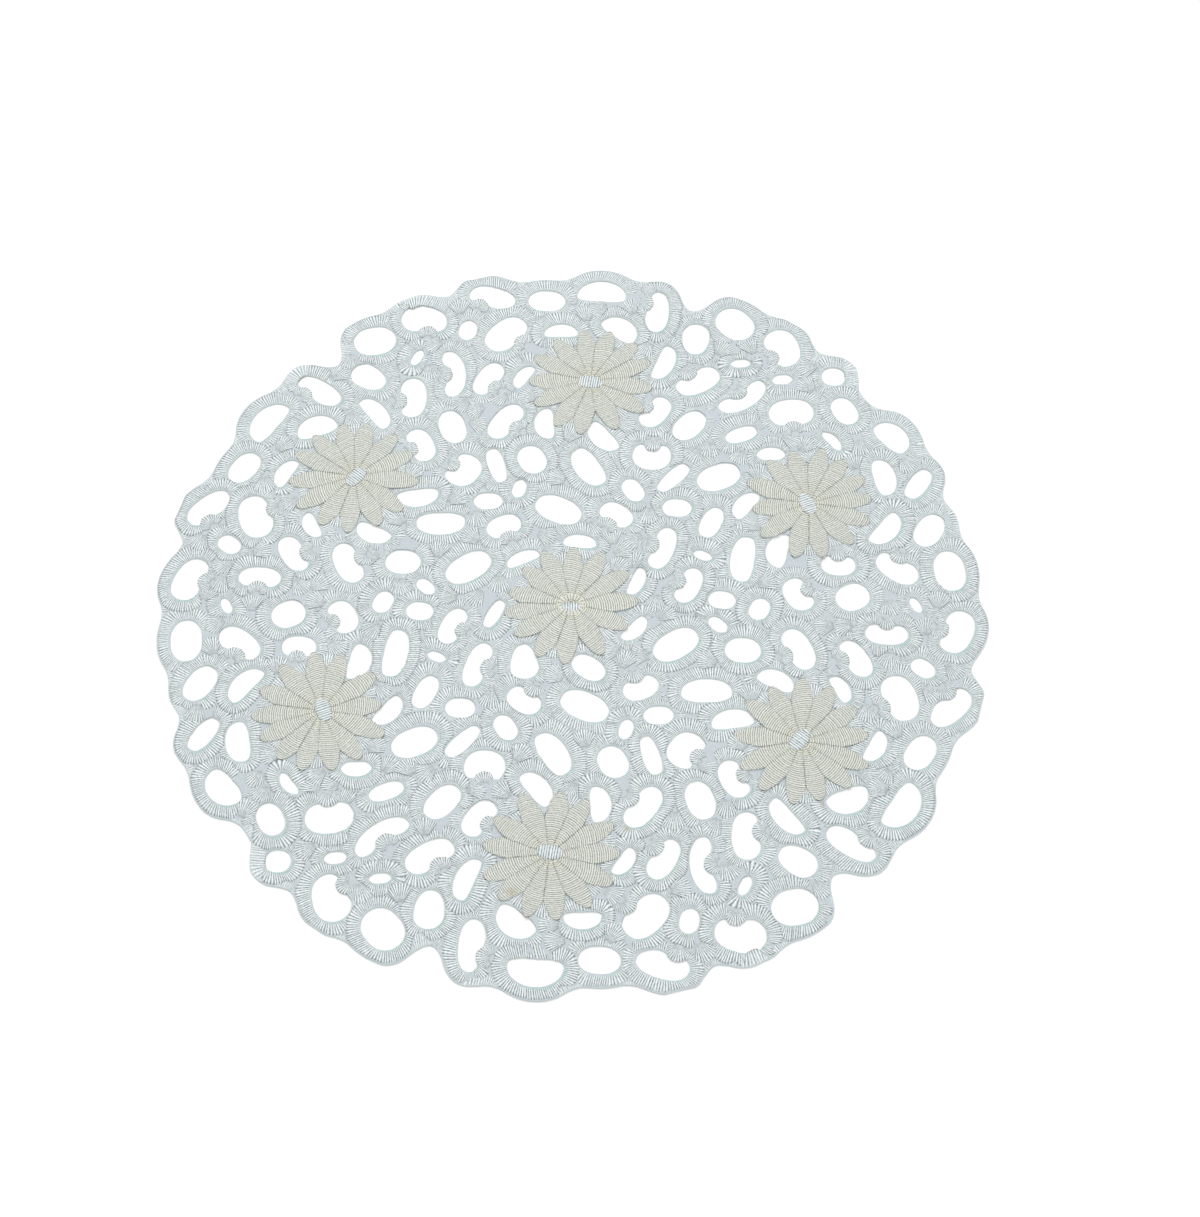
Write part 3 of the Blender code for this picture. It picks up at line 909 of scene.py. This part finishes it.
def ground_sheet(rings, materials):
    """The ground cloth: one thin closed sheet, cut along the same edges as the CAD solid."""
    edges = []
    for ring in rings:
        edge, normal = even(ring.curve, GROUND_STEP)
        edges.append(edge + normal * ring.side * GROUND_INSET)
    flat, loops, links = [], [], []
    for edge in edges:
        start = len(flat)
        flat += [Vector(point) for point in edge]
        loops.append(list(range(start, start + len(edge))))
        links += [(start + step, start + (step + 1) % len(edge)) for step in range(len(edge))]
    _, _, triangles, sources, _, regions = delaunay_2d_cdt(flat, links, loops, 1, SAME_POINT)
    faces = [[sources[corner][0] for corner in triangle]
             for triangle, region in zip(triangles, regions) if region == [0]]
    count = len(flat)
    low = [(point.x * MM, point.y * MM, GROUND_Z[0] * MM) for point in flat]
    high = [(x, y, GROUND_Z[1] * MM) for x, y, _ in low]
    solid = [[corner + count for corner in face] for face in faces]
    solid += [face[::-1] for face in faces]
    walls = []
    for place, (corner, ahead) in enumerate(links):
        wall = (corner, ahead, ahead + count, corner + count)
        walls.append(wall if place < len(edges[0]) else wall[::-1])
    mesh = bpy.data.meshes.new("ground_cloth")
    mesh.from_pydata(low + high, [], solid + walls)
    for material in materials:
        mesh.materials.append(material)
    for polygon in mesh.polygons[len(solid):]:
        polygon.material_index = 1
    area = (area_of(edges[0]) - sum(area_of(edge) for edge in edges[1:])) * MM ** 2
    return linked("ground_cloth", mesh), area


# --- materials ---

def new_material(name, settings):
    """A material, its node tree and its shader with its settings."""
    material = bpy.data.materials.new(name)
    material.use_nodes = True
    shader = material.node_tree.nodes["Principled BSDF"]
    for setting, value in settings.items():
        shader.inputs[setting].default_value = value
    return material, material.node_tree, shader


def node(tree, kind, **settings):
    """A new node with its settings."""
    made = tree.nodes.new(kind)
    for name, value in settings.items():
        setattr(made, name, value)
    return made


def mixed(tree, factor, first, second):
    """A colour between two, by a factor socket."""
    mix = node(tree, "ShaderNodeMix", data_type="RGBA")
    tree.links.new(factor, mix.inputs["Factor"])
    for place, value in ((6, first), (7, second)):
        if isinstance(value, tuple):
            mix.inputs[place].default_value = (*value, 1)
        else:
            tree.links.new(value, mix.inputs[place])
    return mix.outputs[2]


def worked(tree, operation, first, second):
    """The product, sum or quotient of two values, from 0 to 1."""
    result = node(tree, "ShaderNodeMath", operation=operation, use_clamp=True)
    tree.links.new(first, result.inputs[0])
    tree.links.new(second, result.inputs[1])
    return result.outputs["Value"]


def product(tree, first, second):
    return worked(tree, "MULTIPLY", first, second)


def ramp(tree, value, low, high, to_low, to_high):
    """A value mapped from one range to another, and kept inside it."""
    mapped = node(tree, "ShaderNodeMapRange")
    limits = (("From Min", low), ("From Max", high), ("To Min", to_low), ("To Max", to_high))
    for name, limit in limits:
        mapped.inputs[name].default_value = limit
    tree.links.new(value, mapped.inputs["Value"])
    return mapped.outputs["Result"]


def place_in(tree):
    """The place on the object, in metres."""
    return node(tree, "ShaderNodeTexCoord").outputs["Object"]


def noise(tree, scale):
    made = node(tree, "ShaderNodeTexNoise")
    made.inputs["Scale"].default_value = scale
    tree.links.new(place_in(tree), made.inputs["Vector"])
    return made.outputs["Fac"]


def stained(tree, colour):
    """A colour with the tan stains over it, strongest in their middles and a little patchy."""
    place = place_in(tree)
    patchy = ramp(tree, noise(tree, STAIN_NOISE), *NOISE_RANGE, *STAIN_SHARES)
    for x, y, radius in STAINS:
        distance = node(tree, "ShaderNodeVectorMath", operation="DISTANCE")
        distance.inputs[1].default_value = (x * MM, y * MM, STAIN_Z * MM)
        tree.links.new(place, distance.inputs[0])
        near = ramp(tree, distance.outputs["Value"], 0, radius * MM, STAIN_STRENGTH, 0)
        colour = mixed(tree, product(tree, near, patchy), colour, STAIN_COLOUR)
    return colour


def bumped(tree, height, strength, distance):
    """Relief in the material, by a height from 0 to 1."""
    bump = node(tree, "ShaderNodeBump")
    bump.inputs["Strength"].default_value = strength
    bump.inputs["Distance"].default_value = distance
    tree.links.new(height, bump.inputs["Height"])
    tree.links.new(bump.outputs["Normal"], tree.nodes["Principled BSDF"].inputs["Normal"])


def thread_material(name, valley_shade, plain, crest_highlight, warm, widening, left):
    """Satin thread: painted shade between the threads and at the stitches' ends, a painted highlight
    on their crests, each thread a little different, warmer where the mesh says so, with fine filaments."""
    material, tree, shader = new_material(name, THREAD_SHADER)
    stitch = node(tree, "ShaderNodeAttribute", attribute_name="stitch")
    parts = node(tree, "ShaderNodeSeparateColor")
    tree.links.new(stitch.outputs["Color"], parts.inputs["Color"])
    tone, lift, inward = (parts.outputs[channel] for channel in ("Red", "Green", "Blue"))
    # painted highlight on the threads' crests, stronger on some threads and at glinting places
    crest = product(tree, ramp(tree, lift, *CREST_LIFTS, 0, 1), ramp(tree, tone, 0, 1, *TONE_SHARES))
    glints = ramp(tree, noise(tree, GLINT_NOISE), *NOISE_RANGE, *GLINT_SHARES)
    backs = mixed(tree, product(tree, crest, glints), plain, crest_highlight)
    backs = mixed(tree, product(tree, stitch.outputs["Alpha"], noise(tree, WARM_NOISE)), backs, warm)
    # painted shade between the threads, wider at the stitches' ends, where less of the thread's own
    # colour is left
    between = ramp(tree, noise(tree, DARK_NOISE), *NOISE_RANGE, *DARK_SHARES)
    dark = worked(tree, "ADD", between, ramp(tree, inward, 0, 1, widening, 0))
    shown = product(tree, worked(tree, "DIVIDE", lift, dark), ramp(tree, inward, 0, 1, left, 1))
    green = ramp(tree, stitch.outputs["Alpha"], *LIP_RANGE, LIP_STRENGTH, 0)
    colour = mixed(tree, green, mixed(tree, shown, valley_shade, backs), LIP_COLOUR)
    tree.links.new(stained(tree, colour), shader.inputs["Base Color"])
    bumped(tree, noise(tree, FILAMENT_NOISE), FILAMENT_STRENGTH, FILAMENT_DEPTH)
    return material


def ground_material():
    """Plain woven ground: two crossing sets of fine threads."""
    material, tree, shader = new_material("ground_cloth", GROUND_SHADER)
    place = place_in(tree)
    waves = []
    for axis in ("X", "Y"):
        wave = node(tree, "ShaderNodeTexWave", bands_direction=axis)
        wave.inputs["Scale"].default_value = WEAVE_SCALE
        wave.inputs["Distortion"].default_value = WEAVE_WANDER
        wave.inputs["Detail Scale"].default_value = WEAVE_DETAIL
        tree.links.new(place, wave.inputs["Vector"])
        waves.append(wave.outputs["Fac"])
    weave = product(tree, *waves)
    colour = mixed(tree, weave, *GROUND_WEAVE)
    for patch, scale, limits, strength in (GROUND_CLOUDS, GROUND_MOTTLES):
        colour = mixed(tree, ramp(tree, noise(tree, scale), *limits, 0, strength), colour, patch)
    tree.links.new(colour, shader.inputs["Base Color"])
    bumped(tree, weave, WEAVE_STRENGTH, WEAVE_DEPTH)
    return material


def cut_edge_material():
    """The cloth's cut edge, faintly green."""
    material, tree, shader = new_material("cut_edge", CUT_SHADER)
    tree.links.new(mixed(tree, noise(tree, CUT_NOISE), *CUT_COLOURS), shader.inputs["Base Color"])
    return material


# --- stage ---

def stage():
    """A plain pale floor, soft light and the photograph's view."""
    scene = bpy.context.scene
    bpy.ops.mesh.primitive_plane_add(size=FLOOR_SIZE)
    floor = bpy.context.object
    floor.name = "floor"
    paper, _, _ = new_material("floor", FLOOR_SHADER)
    floor.data.materials.append(paper)

    world = bpy.data.worlds.new("world")
    world.use_nodes = True
    background = world.node_tree.nodes["Background"]
    background.inputs["Color"].default_value = WORLD_COLOUR
    background.inputs["Strength"].default_value = WORLD_STRENGTH
    scene.world = world
    for name, place, size, power in LIGHTS:
        light = bpy.data.lights.new(name, "AREA")
        light.size = size
        light.energy = power
        lamp = linked(name, light)
        lamp.location = place
        lamp.rotation_euler = Vector(place).to_track_quat("Z", "Y").to_euler()

    camera = linked("camera", bpy.data.cameras.new("camera"))
    tilt = math.radians(CAMERA_ELEVATION)
    camera.location = Vector(CAMERA_AIM) + CAMERA_DISTANCE * Vector((0, -math.cos(tilt), math.sin(tilt)))
    camera.rotation_euler = (math.pi / 2 - tilt, 0, 0)
    camera.data.lens = CAMERA_LENS
    camera.data.sensor_width = SENSOR
    camera.data.clip_start = CAMERA_NEAREST
    scene.camera = camera
    scene.view_settings.view_transform = "Standard"


def main():
    corners, triangles = cad_corners()
    loops = cad_loops(corners, triangles)
    daisies = cad_petals(corners, triangles)
    ranks = RANDOM.permutation(len(loops)) / len(loops)
    rings = [Ring(loops[0], OUTSIDE, -1, RIM_WIDTH, RIM_RANK)]
    low, high = RING_WIDTHS
    for label, loop in enumerate(loops[1:], start=1):
        rings.append(Ring(loop, label, 1, low + (high - low) * RANDOM.random(), ranks[label]))
    plan = Plan()
    for ring in rings:
        ring.mark(plan)
    sheaves = defaultdict(Sheaf)
    for petal in petals_of(daisies, plan):
        petal.take(plan)
        petal.stitch(sheaves)
    hearts(daisies, sheaves)
    fans = [fan for ring in rings[1:] for fan in shells(ring, plan)]
    fans += fills(rings, plan)
    for work in sorted(rings + fans, key=lambda work: -work.rank):
        work.stitch(plan, sheaves)

    threads = {slot: thread_material(slot, *colours) for slot, colours in THREAD_COLOURS.items()}
    ground, area = ground_sheet(rings, (ground_material(), cut_edge_material()))
    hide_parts(NODE)
    pieces = []
    for key, sheaf in sorted(sheaves.items()):
        slot = "cream_thread" if key == "daisies" else "white_thread"
        piece = sheaf.made(f"satin_{key}", threads[slot])
        pieces.append(piece)
    for piece in [ground] + pieces:
        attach(piece, "root")
    stage()


main()
